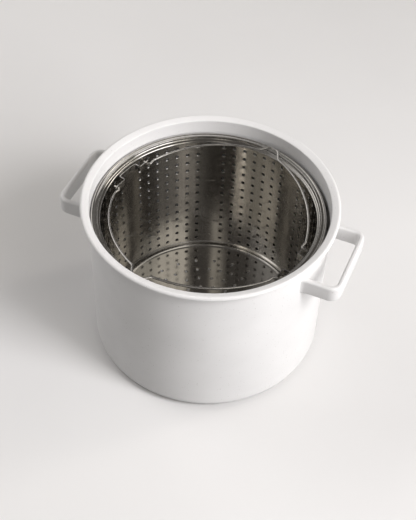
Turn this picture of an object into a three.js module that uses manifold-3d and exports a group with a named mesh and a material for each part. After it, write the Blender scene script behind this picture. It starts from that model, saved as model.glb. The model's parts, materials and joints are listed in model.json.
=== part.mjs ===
// Pasta pot: an enamelled steel pot with two strap handles, and a stainless strainer basket
// that lifts out of it by two wire bails. Millimetres, +Z up, origin at the centre of the
// pot's underside, pot handles along X.
import * as THREE from 'three';
import { mergeGeometries, mergeVertices } from 'three/addons/utils/BufferGeometryUtils.js';
import Module from 'manifold-3d';

// Pot
const POT_HEIGHT = 172.6; // underside to the top of the rolled rim
const POT_INNER_RADIUS = 111.7; // inside of the straight wall
const POT_SHEET = 1.5; // enamelled wall
const POT_FLOOR = 2.0; // floor thickness
const POT_CORNER = 11; // outside radius between floor and wall
const LIP_HEIGHT = 17.6; // flared lip, from its foot to the top of the rim
const LIP_FLARE = 3.5; // how far the lip leans outward
const BEAD_RADIUS = 2.4; // rolled rim
const POT_FACETS = 40;

// Pot handles
const HANDLE_GAP = 22.6; // finger room between the wall and the grip
const HANDLE_SPAN = 80.6; // across the outside of the two legs
const HANDLE_HEIGHT = 17; // width of the strap, which stands on edge
const HANDLE_THICKNESS = 5.2;
const HANDLE_DROP = 21.3; // top of the strap below the top of the rim
const HANDLE_CORNER = 10.5; // outside radius of the two bends
const HANDLE_EDGE = 0.9; // softened edge of the strap
const WELD_GAP = 0.3; // between two pieces that are welded together

// Basket
const BASKET_HEIGHT = 155.1; // underside to the top of the flange
const BASKET_SHEET = 0.8;
const BASKET_PLAY = 2.2; // between the flange and the pot's wall
const BASKET_DRIFT_SHARE = 0.55; // of the play, as the loose basket stands off centre
const BASKET_DRIFT_ANGLE = 201.8; // degrees from +X
const SEAT_GAP = 0.3; // between the basket's underside and the pot's floor
const BASKET_CORNER = 4; // inside radius between floor and wall
const FLANGE_WIDTH = 7.4; // inside of the neck to the rolled edge
const CURL_RADIUS = 1.1; // rolled edge of the flange
const NECK_ROUND = 0.8; // between the neck and the top of the flange
const SHOULDER_STEP = 1.5; // the neck is this much wider than the wall
const SHOULDER_DROP = 4.2; // foot of the shoulder below the top of the flange

// Perforations
const HOLE_GROUPS = 7; // panels of holes round the wall, with a plain strip between them
const GROUP_COLUMNS = 7;
const PLAIN_STRIP = 25.7; // between the two hole columns beside a plain strip, along the wall
const HOLE_ANGLE = 111.8; // degrees from +X to the middle of one plain strip
const LOWER_ROWS = 6; // rows in the lower band
const UPPER_ROWS = 7; // rows in the upper band
const BAND_GAP = 3.14; // the bands stand apart by this much more than two rows do
const FIRST_ROW = 12.25; // lowest row above the basket's underside
const TOP_ROW = 6.4; // highest row below the foot of the shoulder
const HOLE_DIAMETER = 3.2;
const HOLE_SIDES = 3; // each round hole is cut as a prism of the same area

// Hinge brackets
const HINGE_ANGLE = -13.8; // degrees from +X to the line through both brackets
const BRACKET_SHEET = 0.8;
const BRACKET_HEIGHT = 7;
const BRACKET_DROP = 6.4; // top of the bracket below the top of the flange
const BRACKET_SPAN = 23.6; // between the two inward bends
const BRACKET_GAP = 0.5; // between the bracket and the faceted wall
const TAB_INSET = 8.2; // middle of the tab inside the wall, at the bracket's centre line
const TAB_MARGIN = 3; // tab beyond the pin's axis

// Bails
const WIRE_DIAMETER = 2.2;
const PIN_CLEARANCE = 0.35; // round the wire in the tab's hole
const PIN_END_GAP = 0.9; // between the pin's end and the wall
const HINGE_SPREAD = 44; // between the pin lines of the two bails
const HOOK_DEPTH = 3; // hook's inner end beyond the middle of the tab
const HOOK_RISE = 7.5; // from the pin's axis to where the wire's run begins
const HOOK_ROUND = 2.6; // softening of the hook's corners
const RUN_BOW = 113; // radius of the run on each side, flatter than the wall
const BUMP_FOOT = 23.6; // width of the bump where it leaves the wire's run
const FOOT_INSET = 4.1; // feet of the bump inside the neck
const BUMP_TOP = 9.6; // width of the bump on the flange
const BUMP_MARGIN = 3; // middle of the wire inside the flange's edge
const BUMP_ROUND = 3.4; // softening of the bump's corners
const REST_GAP = 0.3; // between the resting wire and the flange
const WIRE_SIDES = 6;

// Places that follow from the sizes above
const potOuterRadius = POT_INNER_RADIUS + POT_SHEET;
const flangeRadius = POT_INNER_RADIUS - BASKET_PLAY;
const neckRadius = flangeRadius - FLANGE_WIDTH;
const basketRadius = neckRadius - SHOULDER_STEP;
const basketFoot = POT_FLOOR + SEAT_GAP;
const basketTop = basketFoot + BASKET_HEIGHT;
const bracketTop = basketTop - BRACKET_DROP;
const hingeHeight = bracketTop - BRACKET_HEIGHT / 2;
const hingeOffset = HINGE_SPREAD / 2;
const tabPlace = basketRadius - TAB_INSET;
const wireRadius = WIRE_DIAMETER / 2;

const enamel = () => new THREE.MeshStandardMaterial({ color: 0xeeece9, roughness: 0.38, metalness: 0 });
const stainless = () => new THREE.MeshStandardMaterial({ color: 0xb9b6b0, roughness: 0.22, metalness: 1 });

const MERGE_DISTANCE = 1e-4; // vertices closer than this are one

const wasm = await Module();
wasm.setup();

function named(name, geometry, material) {
  const mesh = new THREE.Mesh(geometry, material);
  mesh.name = name;
  return mesh;
}

function rad(degrees) {
  return THREE.MathUtils.degToRad(degrees);
}

function deg(radians) {
  return THREE.MathUtils.radToDeg(radians);
}

// Points on an arc of a profile, from one angle to another, in degrees.
function arc(x, y, radius, from, to, steps) {
  return Array.from({ length: steps + 1 }, (_, i) => {
    const a = rad(from + ((to - from) * i) / steps);
    return new THREE.Vector2(x + radius * Math.cos(a), y + radius * Math.sin(a));
  });
}

// Turns a closed profile of radius and height about Z, with a facet edge at each angle.
function revolve(profile, angles) {
  const geometry = new THREE.LatheGeometry(profile, angles.length);
  const position = geometry.getAttribute('position');
  for (let i = 0; i <= angles.length; i += 1) {
    const a = angles[i % angles.length];
    profile.forEach((point, j) => {
      const index = i * profile.length + j;
      position.setXYZ(index, point.x * Math.cos(a), point.x * Math.sin(a), point.y);
    });
  }
  geometry.computeVertexNormals();
  return geometry;
}

function evenAngles(count) {
  return Array.from({ length: count }, (_, i) => (2 * Math.PI * i) / count);
}

// Leaves only the positions, so that vertices in the same place can be merged.
function bare(geometry) {
  geometry.deleteAttribute('normal');
  geometry.deleteAttribute('uv');
  return geometry;
}

// Booleans work on closed meshes of shared vertices.
function solidOf(geometry) {
  const merged = mergeVertices(bare(geometry), MERGE_DISTANCE);
  return new wasm.Manifold(new wasm.Mesh({
    numProp: 3,
    vertProperties: new Float32Array(merged.getAttribute('position').array),
    triVerts: new Uint32Array(merged.getIndex().array),
  }));
}

function geometryOf(solid) {
  const mesh = solid.getMesh();
  const geometry = new THREE.BufferGeometry();
  geometry.setAttribute('position', new THREE.BufferAttribute(new Float32Array(mesh.vertProperties), 3));
  geometry.setIndex(new THREE.BufferAttribute(new Uint32Array(mesh.triVerts), 1));
  geometry.computeVertexNormals();
  return geometry;
}

// Pot body: one sheet, drawn deep, with a rounded corner, a flared lip and a rolled rim.
function potBody() {
  const lipFoot = POT_HEIGHT - LIP_HEIGHT;
  const beadRadius = POT_INNER_RADIUS + LIP_FLARE + BEAD_RADIUS;
  const beadHeight = POT_HEIGHT - BEAD_RADIUS;
  const tuck = deg(Math.asin((BEAD_RADIUS - POT_SHEET) / BEAD_RADIUS));
  const innerCorner = POT_CORNER - POT_SHEET;
  const profile = [
    new THREE.Vector2(0, 0),
    ...arc(potOuterRadius - POT_CORNER, POT_CORNER, POT_CORNER, -90, 0, 3),
    new THREE.Vector2(potOuterRadius, lipFoot),
    ...arc(beadRadius, beadHeight, BEAD_RADIUS, -90 - tuck, 0, 3),
    ...arc(beadRadius, beadHeight, BEAD_RADIUS, 0, 180, 4).slice(1),
    new THREE.Vector2(POT_INNER_RADIUS, lipFoot),
    ...arc(POT_INNER_RADIUS - innerCorner, POT_FLOOR + innerCorner, innerCorner, 0, -90, 2),
    new THREE.Vector2(0, POT_FLOOR),
  ];
  return revolve(profile, evenAngles(POT_FACETS));
}

// Pot handle: a flat strap on edge, bent to a U, its legs cut to the curve of the wall.
function potHandle() {
  const reach = potOuterRadius + HANDLE_GAP + HANDLE_THICKNESS;
  const outerHalf = HANDLE_SPAN / 2;
  const innerHalf = outerHalf - HANDLE_THICKNESS;
  const innerCorner = HANDLE_CORNER - HANDLE_THICKNESS;
  const bend = reach - HANDLE_CORNER;
  const bendHalf = outerHalf - HANDLE_CORNER;
  const root = (half) => Math.sqrt((potOuterRadius + WELD_GAP) ** 2 - half ** 2);
  const outline = new THREE.Shape();
  outline.moveTo(root(outerHalf), -outerHalf);
  outline.lineTo(bend, -outerHalf);
  outline.absarc(bend, -bendHalf, HANDLE_CORNER, rad(-90), 0, false);
  outline.absarc(bend, bendHalf, HANDLE_CORNER, 0, rad(90), false);
  outline.lineTo(root(outerHalf), outerHalf);
  outline.lineTo(root(innerHalf), innerHalf);
  outline.absarc(bend, bendHalf, innerCorner, rad(90), 0, true);
  outline.absarc(bend, -bendHalf, innerCorner, 0, rad(-90), true);
  outline.lineTo(root(innerHalf), -innerHalf);
  const geometry = new THREE.ExtrudeGeometry(outline, {
    depth: HANDLE_HEIGHT - 2 * HANDLE_EDGE,
    curveSegments: 2,
    bevelThickness: HANDLE_EDGE,
    bevelSize: HANDLE_EDGE,
    bevelOffset: -HANDLE_EDGE,
    bevelSegments: 1,
  });
  return geometry.translate(0, 0, POT_HEIGHT - HANDLE_DROP - HANDLE_HEIGHT + HANDLE_EDGE);
}

// Basket: one drawn sheet with a rounded foot, a shoulder, and a flange with a rolled edge.
// Each column of holes has a flat facet of its own, and each plain strip has one.
function basketAngles() {
  const groupTurn = (2 * Math.PI) / HOLE_GROUPS;
  const columnTurn = (groupTurn - PLAIN_STRIP / basketRadius) / (GROUP_COLUMNS - 1);
  const angles = [];
  for (let group = 0; group < HOLE_GROUPS; group += 1) {
    const middle = rad(HOLE_ANGLE) + (group + 0.5) * groupTurn;
    for (let edge = 0; edge <= GROUP_COLUMNS; edge += 1) {
      angles.push(middle + (edge - GROUP_COLUMNS / 2) * columnTurn);
    }
  }
  return angles;
}

function rowHeights(shoulder) {
  const rows = LOWER_ROWS + UPPER_ROWS;
  const first = basketFoot + FIRST_ROW;
  const pitch = (shoulder - TOP_ROW - first - BAND_GAP) / (rows - 1);
  return Array.from({ length: rows }, (_, row) => first + row * pitch + (row < LOWER_ROWS ? 0 : BAND_GAP));
}

// Corners of one hole on its facet, counter-clockwise as seen from outside.
function holeLoop(across, height) {
  const roundArea = (Math.PI * HOLE_DIAMETER ** 2) / 4;
  const unitArea = (HOLE_SIDES / 2) * Math.sin((2 * Math.PI) / HOLE_SIDES);
  return arc(across, height, Math.sqrt(roundArea / unitArea), 90, 450, HOLE_SIDES).slice(1);
}

// One flat facet of the wall between two angles: its inside and its outside, joined through the holes.
function wallFacet(from, to, foot, shoulder, holeHeights) {
  const width = basketRadius * Math.hypot(Math.cos(to) - Math.cos(from), Math.sin(to) - Math.sin(from));
  const outline = [[0, foot], [width, foot], [width, shoulder], [0, shoulder]];
  const border = outline.map(([across, height]) => new THREE.Vector2(across, height));
  const loops = holeHeights.map((height) => holeLoop(width / 2, height));
  const corners = [border, ...loops].flat();
  const placed = (radius) => corners.flatMap((corner) => {
    const share = corner.x / width;
    const x = radius * THREE.MathUtils.lerp(Math.cos(from), Math.cos(to), share);
    const y = radius * THREE.MathUtils.lerp(Math.sin(from), Math.sin(to), share);
    return [x, y, corner.y];
  });
  const outside = corners.length;
  const index = [];
  for (const [a, b, c] of THREE.ShapeUtils.triangulateShape(border, loops)) {
    index.push(a, c, b, a + outside, b + outside, c + outside);
  }
  loops.forEach((loop, hole) => {
    const start = border.length + hole * HOLE_SIDES;
    loop.forEach((_, side) => {
      const a = start + side;
      const b = start + ((side + 1) % HOLE_SIDES);
      index.push(a + outside, b + outside, b, a + outside, b, a);
    });
  });
  const positions = [...placed(basketRadius), ...placed(basketRadius + BASKET_SHEET)];
  const facet = new THREE.BufferGeometry();
  facet.setAttribute('position', new THREE.Float32BufferAttribute(positions, 3));
  facet.setIndex(index);
  return facet;
}

function basketShell() {
  const outerCorner = BASKET_CORNER + BASKET_SHEET;
  const wallFoot = basketFoot + outerCorner;
  const shoulder = basketTop - SHOULDER_DROP;
  const curl = flangeRadius - CURL_RADIUS;
  const tuck = deg(Math.asin((CURL_RADIUS - BASKET_SHEET) / CURL_RADIUS));
  const floorBelow = [
    new THREE.Vector2(0, basketFoot),
    ...arc(basketRadius - BASKET_CORNER, wallFoot, outerCorner, -90, 0, 2),
  ];
  const flange = [
    new THREE.Vector2(basketRadius + BASKET_SHEET, shoulder),
    new THREE.Vector2(neckRadius + BASKET_SHEET, shoulder + SHOULDER_STEP),
    new THREE.Vector2(neckRadius + BASKET_SHEET, basketTop - BASKET_SHEET),
    ...arc(curl, basketTop - CURL_RADIUS, CURL_RADIUS, 180 - tuck, 360, 2),
    ...arc(curl, basketTop - CURL_RADIUS, CURL_RADIUS, 0, 90, 1).slice(1),
    ...arc(neckRadius + NECK_ROUND, basketTop - NECK_ROUND, NECK_ROUND, 90, 180, 1),
    new THREE.Vector2(neckRadius, shoulder + SHOULDER_STEP),
    new THREE.Vector2(basketRadius, shoulder),
  ];
  const floorAbove = [
    ...arc(basketRadius - BASKET_CORNER, wallFoot, BASKET_CORNER, 0, -90, 2),
    new THREE.Vector2(0, basketFoot + BASKET_SHEET),
  ];
  const angles = basketAngles();
  const turned = [floorBelow, flange, floorAbove].map((profile) => bare(revolve(profile, angles)));
  const heights = rowHeights(shoulder);
  const facets = angles.map((from, i) => {
    const to = angles[(i + 1) % angles.length];
    const isColumn = i % (GROUP_COLUMNS + 1) < GROUP_COLUMNS;
    return wallFacet(from, to, wallFoot, shoulder, isColumn ? heights : []);
  });
  const sheet = mergeVertices(mergeGeometries([...turned, ...facets]), MERGE_DISTANCE);
  sheet.computeVertexNormals();
  return sheet;
}

// Hinge bracket: a strap flush on the wall, both ends bent inward and then along the wall
// again as tabs, each with a round hole for a bail's pin. Made for the +X end of the hinge line.
function hingeBracket() {
  const half = BRACKET_SHEET / 2;
  const back = basketRadius - BRACKET_GAP;
  const bend = BRACKET_SPAN / 2;
  const tabEnd = hingeOffset + TAB_MARGIN;
  const wallBend = deg(Math.asin(bend / back));
  const frontBend = deg(Math.asin((bend - BRACKET_SHEET) / (back - BRACKET_SHEET)));
  const outline = new THREE.Shape([
    new THREE.Vector2(tabPlace - half, -tabEnd),
    new THREE.Vector2(tabPlace + half, -tabEnd),
    new THREE.Vector2(tabPlace + half, -bend),
    ...arc(0, 0, back, -wallBend, wallBend, 4),
    new THREE.Vector2(tabPlace + half, bend),
    new THREE.Vector2(tabPlace + half, tabEnd),
    new THREE.Vector2(tabPlace - half, tabEnd),
    new THREE.Vector2(tabPlace - half, bend - BRACKET_SHEET),
    ...arc(0, 0, back - BRACKET_SHEET, frontBend, -frontBend, 4),
    new THREE.Vector2(tabPlace - half, BRACKET_SHEET - bend),
  ]);
  const strap = new THREE.ExtrudeGeometry(outline, { depth: BRACKET_HEIGHT, bevelEnabled: false });
  strap.translate(0, 0, bracketTop - BRACKET_HEIGHT);
  let solid = solidOf(strap);
  for (const side of [-1, 1]) {
    const holeRadius = wireRadius + PIN_CLEARANCE;
    const hole = new THREE.CylinderGeometry(holeRadius, holeRadius, 4 * BRACKET_SHEET, 8);
    hole.rotateZ(Math.PI / 2);
    hole.translate(tabPlace, side * hingeOffset, hingeHeight);
    solid = solid.subtract(solidOf(hole));
  }
  return geometryOf(solid);
}

// A wire's path: the stations that its round section passes through, in order.
class WirePath extends THREE.Curve {
  constructor(stations) {
    super();
    this.stations = stations;
  }

  getSpacedPoints() {
    return this.stations;
  }

  getTangentAt(u, target = new THREE.Vector3()) {
    const last = this.stations.length - 1;
    const i = Math.round(u * last);
    const before = this.stations[Math.max(i - 1, 0)];
    const after = this.stations[Math.min(i + 1, last)];
    return target.subVectors(after, before).normalize();
  }
}

// The bend that softens a corner between two straight runs of wire.
function softened(before, corner, after, size) {
  const from = corner.clone().add(before.clone().sub(corner).setLength(size));
  const to = corner.clone().add(after.clone().sub(corner).setLength(size));
  return new THREE.QuadraticBezierCurve3(from, corner, to).getPoints(2);
}

// A run of wire from one point to another along an arc that bows away from the hinge.
function bowed(from, to, radius, steps) {
  const half = from.distanceTo(to) / 2;
  const outward = new THREE.Vector3(to.y - from.y, from.x - to.x, 0).normalize();
  const centre = from.clone().lerp(to, 0.5).addScaledVector(outward, -Math.sqrt(radius ** 2 - half ** 2));
  const angle = (point) => deg(Math.atan2(point.y - centre.y, point.x - centre.x));
  const points = arc(centre.x, centre.y, radius, angle(from), angle(to), steps);
  return points.map((point) => new THREE.Vector3(point.x, point.y, 0));
}

// Bail: one wire, flat in its own plane. The hinge line is X, and Y points away from it.
function bailTilt() {
  const clearHeight = basketTop + REST_GAP + wireRadius;
  const edge = Math.sqrt(neckRadius ** 2 - (BUMP_FOOT / 2) ** 2) - hingeOffset;
  return Math.atan2(clearHeight - hingeHeight, edge);
}

function bailWire() {
  const at = (x, y) => new THREE.Vector3(x, y, 0);
  const footRadius = neckRadius - FOOT_INSET;
  const bumpRadius = flangeRadius - BUMP_MARGIN;
  const wallAtPin = Math.sqrt((basketRadius - BRACKET_GAP) ** 2 - hingeOffset ** 2);
  const runSteps = 7;
  const pinEnd = at(wallAtPin - PIN_END_GAP, 0);
  const hook = at(tabPlace - HOOK_DEPTH, 0);
  const bumpFoot = at(BUMP_FOOT / 2, Math.sqrt(footRadius ** 2 - (BUMP_FOOT / 2) ** 2) - hingeOffset);
  const run = bowed(at(hook.x, HOOK_RISE), bumpFoot, RUN_BOW, runSteps);
  const bumpTop = at(BUMP_TOP / 2, bumpRadius - hingeOffset);
  const middle = at(0, bumpRadius - hingeOffset);
  const half = [
    pinEnd,
    ...softened(pinEnd, hook, run[0], HOOK_ROUND),
    ...softened(hook, run[0], run[1], HOOK_ROUND),
    ...run.slice(1, runSteps),
    ...softened(run[runSteps - 1], bumpFoot, bumpTop, BUMP_ROUND),
    ...softened(bumpFoot, bumpTop, middle, BUMP_ROUND),
  ];
  const mirrored = half.map((point) => at(-point.x, point.y)).reverse();
  const section = new THREE.Shape(arc(0, 0, wireRadius, 0, 360, WIRE_SIDES).slice(0, WIRE_SIDES));
  const path = new WirePath([...half, ...mirrored]);
  return new THREE.ExtrudeGeometry(section, { steps: path.stations.length - 1, extrudePath: path });
}

const pot = new THREE.Group();
const handleRight = named('handle_right', potHandle(), enamel());
const handleLeft = named('handle_left', potHandle(), enamel());
handleLeft.rotation.z = Math.PI;
pot.add(named('pot_body', potBody(), enamel()), handleRight, handleLeft);

// The basket stands loose on the pot's floor, with its hinge line turned from the pot's handles.
const basket = new THREE.Group();
const drift = BASKET_PLAY * BASKET_DRIFT_SHARE;
basket.position.set(drift * Math.cos(rad(BASKET_DRIFT_ANGLE)), drift * Math.sin(rad(BASKET_DRIFT_ANGLE)), 0);
basket.add(named('basket', basketShell(), stainless()));

for (const [turn, bracketName, bailName] of [
  [0, 'hinge_bracket_right', 'bail_back'],
  [180, 'hinge_bracket_left', 'bail_front'],
]) {
  const side = new THREE.Group();
  side.rotation.z = rad(HINGE_ANGLE + turn);
  const bail = named(bailName, bailWire(), stainless());
  bail.position.set(0, hingeOffset, hingeHeight);
  bail.rotation.x = bailTilt();
  side.add(named(bracketName, hingeBracket(), stainless()), bail);
  basket.add(side);
}

const pastaPot = new THREE.Group();
pastaPot.add(pot, basket);

export default pastaPot;
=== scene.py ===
import json
import math

import bmesh
import bpy
from mathutils import Matrix, Vector


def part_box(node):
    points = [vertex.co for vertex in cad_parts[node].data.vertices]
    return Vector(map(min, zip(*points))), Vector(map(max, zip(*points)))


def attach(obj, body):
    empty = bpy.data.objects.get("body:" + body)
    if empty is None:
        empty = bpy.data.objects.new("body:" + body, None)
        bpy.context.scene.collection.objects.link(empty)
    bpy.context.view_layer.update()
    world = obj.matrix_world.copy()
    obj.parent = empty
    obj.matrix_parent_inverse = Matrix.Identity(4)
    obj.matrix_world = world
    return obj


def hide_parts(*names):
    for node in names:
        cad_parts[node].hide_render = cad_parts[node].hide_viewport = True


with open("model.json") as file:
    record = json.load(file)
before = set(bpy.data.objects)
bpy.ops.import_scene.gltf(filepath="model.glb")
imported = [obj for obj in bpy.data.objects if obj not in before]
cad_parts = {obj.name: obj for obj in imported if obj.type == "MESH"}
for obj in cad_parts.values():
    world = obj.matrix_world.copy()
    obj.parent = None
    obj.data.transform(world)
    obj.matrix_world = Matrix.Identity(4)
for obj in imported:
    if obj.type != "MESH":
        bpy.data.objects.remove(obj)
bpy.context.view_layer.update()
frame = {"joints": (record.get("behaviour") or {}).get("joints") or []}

# Pot body
# A deep round pot, drawn from one steel sheet and coated inside and out with white satin enamel.
# The top of the wall is turned out and rolled under, which leaves a broad rim that falls gently inward.
MM = 0.001
POT_INNER_RADIUS = 111.7
POT_SHEET = 1.5
POT_FLOOR = 2.0
POT_CORNER = 11.0
RIM_DEPTH = 4.8
RIM_ROUND = 2.2
RIM_INNER_ROUND = 1.3
RIM_SLOPE = 19.0
RIM_FILLET = 1.2
ROUND_END = 0.6
POT_SEGMENTS = 192
POT_CORNER_STEPS = 12
RIM_STEPS = 8
RIM_FILLET_STEPS = 6
POT_CREASE = 40
ENAMEL_WHITE = (0.80, 0.795, 0.79, 1.0)
ENAMEL_CLOUD = (0.755, 0.75, 0.745, 1.0)
ENAMEL_SPECK = (0.42, 0.39, 0.36, 1.0)
ENAMEL_ROUGHNESS = (0.30, 0.38)
ENAMEL_IOR = 1.5
CLOUD_SCALE = 16.0
CLOUD_RANGE = (0.35, 0.7)
SPECK_SCALE = 900.0
SPECK_RANGE = (0.80, 0.84)
SPECK_COVER = 0.6
FLOW_SCALE = 130.0
FLOW_SHARE = 2.0
PEEL_SCALE = 620.0
PEEL_STRENGTH = 0.12
PEEL_DEPTH = 0.0002
MIDDLE_RANGE = (0.3, 0.7)


def arc_points(radius, height, size, start, end, steps):
    """Points (radius from the axis, height) of a profile along an arc between two angles in degrees."""
    angles = [math.radians(start + (end - start) * step / steps) for step in range(steps + 1)]
    return [(radius + size * math.cos(a), height + size * math.sin(a)) for a in angles]


def even_angles(count):
    return [2 * math.pi * step / count for step in range(count)]


def ring_place(centre, radius, turn, height):
    """A place round an upright line, in metres."""
    x = centre[0] + radius * math.cos(turn)
    y = centre[1] + radius * math.sin(turn)
    return x * MM, y * MM, height * MM


def turned(profile, angles, centre=(0.0, 0.0), left_open=None):
    """Sheet turned about an upright line: the profile runs out along the underside, up, and back inside."""
    bm = bmesh.new()
    rings = []
    for radius, height in profile:
        around = angles if radius > 0 else [0.0]
        rings.append([bm.verts.new(ring_place(centre, radius, a, height)) for a in around])
    for step in range(len(rings) - 1):
        lower, upper = rings[step], rings[step + 1]
        for sector in range(len(angles)):
            if left_open and left_open(profile[step], profile[step + 1], sector):
                continue
            after = (sector + 1) % len(angles)
            corners = [
                lower[sector % len(lower)],
                lower[after % len(lower)],
                upper[after % len(upper)],
                upper[sector % len(upper)],
            ]
            bm.faces.new(list(dict.fromkeys(corners)))
    return bm


def new_object(name, bm):
    """An object in the scene from a finished mesh, standing at the origin."""
    mesh = bpy.data.meshes.new(name)
    bm.to_mesh(mesh)
    bm.free()
    made = bpy.data.objects.new(name, mesh)
    bpy.context.scene.collection.objects.link(made)
    return made


def made_piece(name, bm, sharp_degrees, material):
    """A finished piece, smooth except where it turns more sharply than the given angle."""
    piece = new_object(name, bm)
    piece.data.shade_smooth()
    piece.data.set_sharp_from_angle(angle=math.radians(sharp_degrees))
    piece.data.materials.append(material)
    return piece


def add_node(tree, kind, inputs=None, **settings):
    """A node with its settings made and its inputs set or linked."""
    node = tree.nodes.new(kind)
    for name, value in settings.items():
        setattr(node, name, value)
    for name, value in (inputs or {}).items():
        if isinstance(value, bpy.types.NodeSocket):
            tree.links.new(value, node.inputs[name])
        else:
            node.inputs[name].default_value = value
    return node


def calculated(tree, operation, first, second=0.0, third=0.0):
    return add_node(tree, "ShaderNodeMath", {0: first, 1: second, 2: third}, operation=operation).outputs[0]


def spread(tree, value, low, high, to_low=0.0, to_high=1.0):
    """Moves a value from one range to another, held at the ends."""
    ends = {"Value": value, "From Min": low, "From Max": high, "To Min": to_low, "To Max": to_high}
    return add_node(tree, "ShaderNodeMapRange", ends).outputs["Result"]


def blended(tree, share, first, second):
    """A colour between two others, by the share of the second."""
    mix = add_node(tree, "ShaderNodeMix", {0: share, 6: first, 7: second}, data_type="RGBA")
    return mix.outputs[2]


def noise(tree, place, scale, detail=2.0):
    inputs = {"Vector": place, "Scale": scale, "Detail": detail}
    return add_node(tree, "ShaderNodeTexNoise", inputs).outputs["Fac"]


def add_bump(tree, shader, height, strength, depth):
    bump = add_node(tree, "ShaderNodeBump", {"Strength": strength, "Distance": depth, "Height": height})
    tree.links.new(bump.outputs["Normal"], shader.inputs["Normal"])


def new_finish(name):
    """A new material, with its tree, its shader and the place on the piece."""
    material = bpy.data.materials.new(name)
    material.use_nodes = True
    tree = material.node_tree
    place = add_node(tree, "ShaderNodeTexCoord").outputs["Object"]
    return material, tree, tree.nodes["Principled BSDF"], place


def satin_enamel():
    """Fired coat: faint clouding, a fine orange-peel skin and a few specks."""
    material, tree, shader, place = new_finish("satin_enamel")
    clouds = noise(tree, place, CLOUD_SCALE, detail=3.0)
    flow = noise(tree, place, FLOW_SCALE)
    peel = noise(tree, place, PEEL_SCALE)
    fleck = noise(tree, place, SPECK_SCALE, detail=0.0)
    coat = blended(tree, spread(tree, clouds, *CLOUD_RANGE), ENAMEL_WHITE, ENAMEL_CLOUD)
    flecked = spread(tree, fleck, *SPECK_RANGE, to_high=SPECK_COVER)
    skin = calculated(tree, "MULTIPLY_ADD", flow, FLOW_SHARE, peel)
    tree.links.new(blended(tree, flecked, coat, ENAMEL_SPECK), shader.inputs["Base Color"])
    tree.links.new(spread(tree, clouds, *MIDDLE_RANGE, *ENAMEL_ROUGHNESS), shader.inputs["Roughness"])
    add_bump(tree, shader, skin, PEEL_STRENGTH, PEEL_DEPTH)
    shader.inputs["IOR"].default_value = ENAMEL_IOR
    return material


pot_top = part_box("pot_body")[1]
rim_top = pot_top.z / MM
rim_low = rim_top - RIM_DEPTH
rim_edge = pot_top.x / MM - RIM_ROUND
pot_outer_radius = POT_INNER_RADIUS + POT_SHEET
inner_corner = POT_CORNER - POT_SHEET
inner_corner_top = POT_FLOOR + inner_corner
inner_edge = POT_INNER_RADIUS + RIM_INNER_ROUND
crown = 90 + RIM_SLOPE
lean = math.radians(crown)
rim_fall = (RIM_INNER_ROUND - RIM_ROUND - (rim_edge - inner_edge) * math.cos(lean)) / math.sin(lean)
inner_round = rim_top - RIM_ROUND - rim_fall
pot_profile = [(0.0, 0.0), (pot_outer_radius - POT_CORNER - ROUND_END, 0.0)]
pot_profile += arc_points(pot_outer_radius - POT_CORNER, POT_CORNER, POT_CORNER, -90, 0, POT_CORNER_STEPS)
pot_profile += [(pot_outer_radius, POT_CORNER + ROUND_END)]
pot_profile += [(pot_outer_radius, rim_low - RIM_FILLET - ROUND_END)]
pot_profile += arc_points(
    pot_outer_radius + RIM_FILLET, rim_low - RIM_FILLET, RIM_FILLET, 180, 90, RIM_FILLET_STEPS
)
pot_profile += arc_points(rim_edge, rim_low + RIM_ROUND, RIM_ROUND, -90, 0, RIM_STEPS)
pot_profile += arc_points(rim_edge, rim_top - RIM_ROUND, RIM_ROUND, 0, crown, RIM_STEPS)
pot_profile += arc_points(inner_edge, inner_round, RIM_INNER_ROUND, crown, 180, RIM_STEPS)
pot_profile += [(POT_INNER_RADIUS, inner_round - ROUND_END)]
pot_profile += [(POT_INNER_RADIUS, inner_corner_top + ROUND_END)]
pot_profile += arc_points(
    POT_INNER_RADIUS - inner_corner, inner_corner_top, inner_corner, 0, -90, POT_CORNER_STEPS
)
pot_profile += [(0.0, POT_FLOOR)]

enamel = satin_enamel()
pot_sheet = turned(pot_profile, even_angles(POT_SEGMENTS))
pot_body = made_piece("pot_body_enamelled", pot_sheet, POT_CREASE, enamel)
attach(pot_body, "pot")
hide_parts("pot_body")

# Pot handles
# Flat steel straps set on edge and bent to a U, their legs cut to the curve of the wall and welded to it.
# They are coated together with the pot, so the enamel runs over each weld in a small hollow.
HANDLE_GAP = 22.6
HANDLE_SPAN = 80.6
HANDLE_HEIGHT = 17.0
HANDLE_THICKNESS = 5.2
HANDLE_BEND = 10.5
HANDLE_EDGE = 2.2
EDGE_STEPS = 6
WELD_DEPTH = 0.7
WELD_REACH = 3.2
WELD_SPREAD = 1.5
WELD_STEPS = 6
LEG_CLEAR = 1.0
BEND_STEPS = 10
HANDLE_CREASE = 50
STRAIGHT = math.radians(89.9)


def rounded_run(corners, size, steps):
    """A run of points whose inner corners are bent to an arc of the given radius."""
    run = [corners[0]]
    for before, corner, after in zip(corners, corners[1:], corners[2:]):
        back = (before - corner).normalized()
        onward = (after - corner).normalized()
        half = back.angle(onward) / 2
        if half > STRAIGHT:
            run.append(corner)
            continue
        middle = corner + (back + onward).normalized() * size / math.sin(half)
        first = corner + back * size / math.tan(half) - middle
        last = corner + onward * size / math.tan(half) - middle
        turn = math.pi - 2 * half
        for step in range(steps + 1):
            share = step / steps
            arm = first * math.sin((1 - share) * turn) + last * math.sin(share * turn)
            run.append(middle + arm / math.sin(turn))
    run.append(corners[-1])
    return run


def rounded_section(half_width, half_height, edge, steps):
    """A strap's section (across, up), with softened edges."""
    section = []
    for quarter, (side, up) in enumerate([(1, 1), (-1, 1), (-1, -1), (1, -1)]):
        start = 90 * quarter
        across = side * (half_width - edge)
        height = up * (half_height - edge)
        section += arc_points(across, height, edge, start, start + 90, steps)
    return section


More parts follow.
